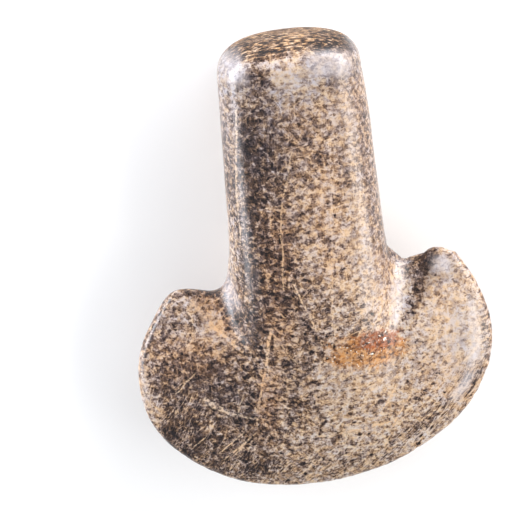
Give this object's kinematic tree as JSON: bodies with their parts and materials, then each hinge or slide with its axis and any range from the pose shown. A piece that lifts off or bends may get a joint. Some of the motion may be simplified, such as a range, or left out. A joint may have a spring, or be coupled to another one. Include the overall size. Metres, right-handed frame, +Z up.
{
  "type": "stone spud",
  "caption": "Polished stone spud lying on its back: a thick handle with soft edges and a domed butt, and a wide flaring blade with a curved bit and ground hollows at its shoulders.",
  "frame": {"origin": "bottom centre of the stone's box, on the surface it lies on", "axes": "+X across the blade, +Y along the handle from the bit to the butt, +Z up out of the front face"},
  "size_m": [0.107, 0.1394, 0.0353],
  "materials": {
    "polished_stone": "polished mottled hardstone, dark grains in a tan and cream ground, with a rust stain"
  },
  "bodies": {
    "root": {"stone_spud": "polished_stone"}
  },
  "joints": []
}
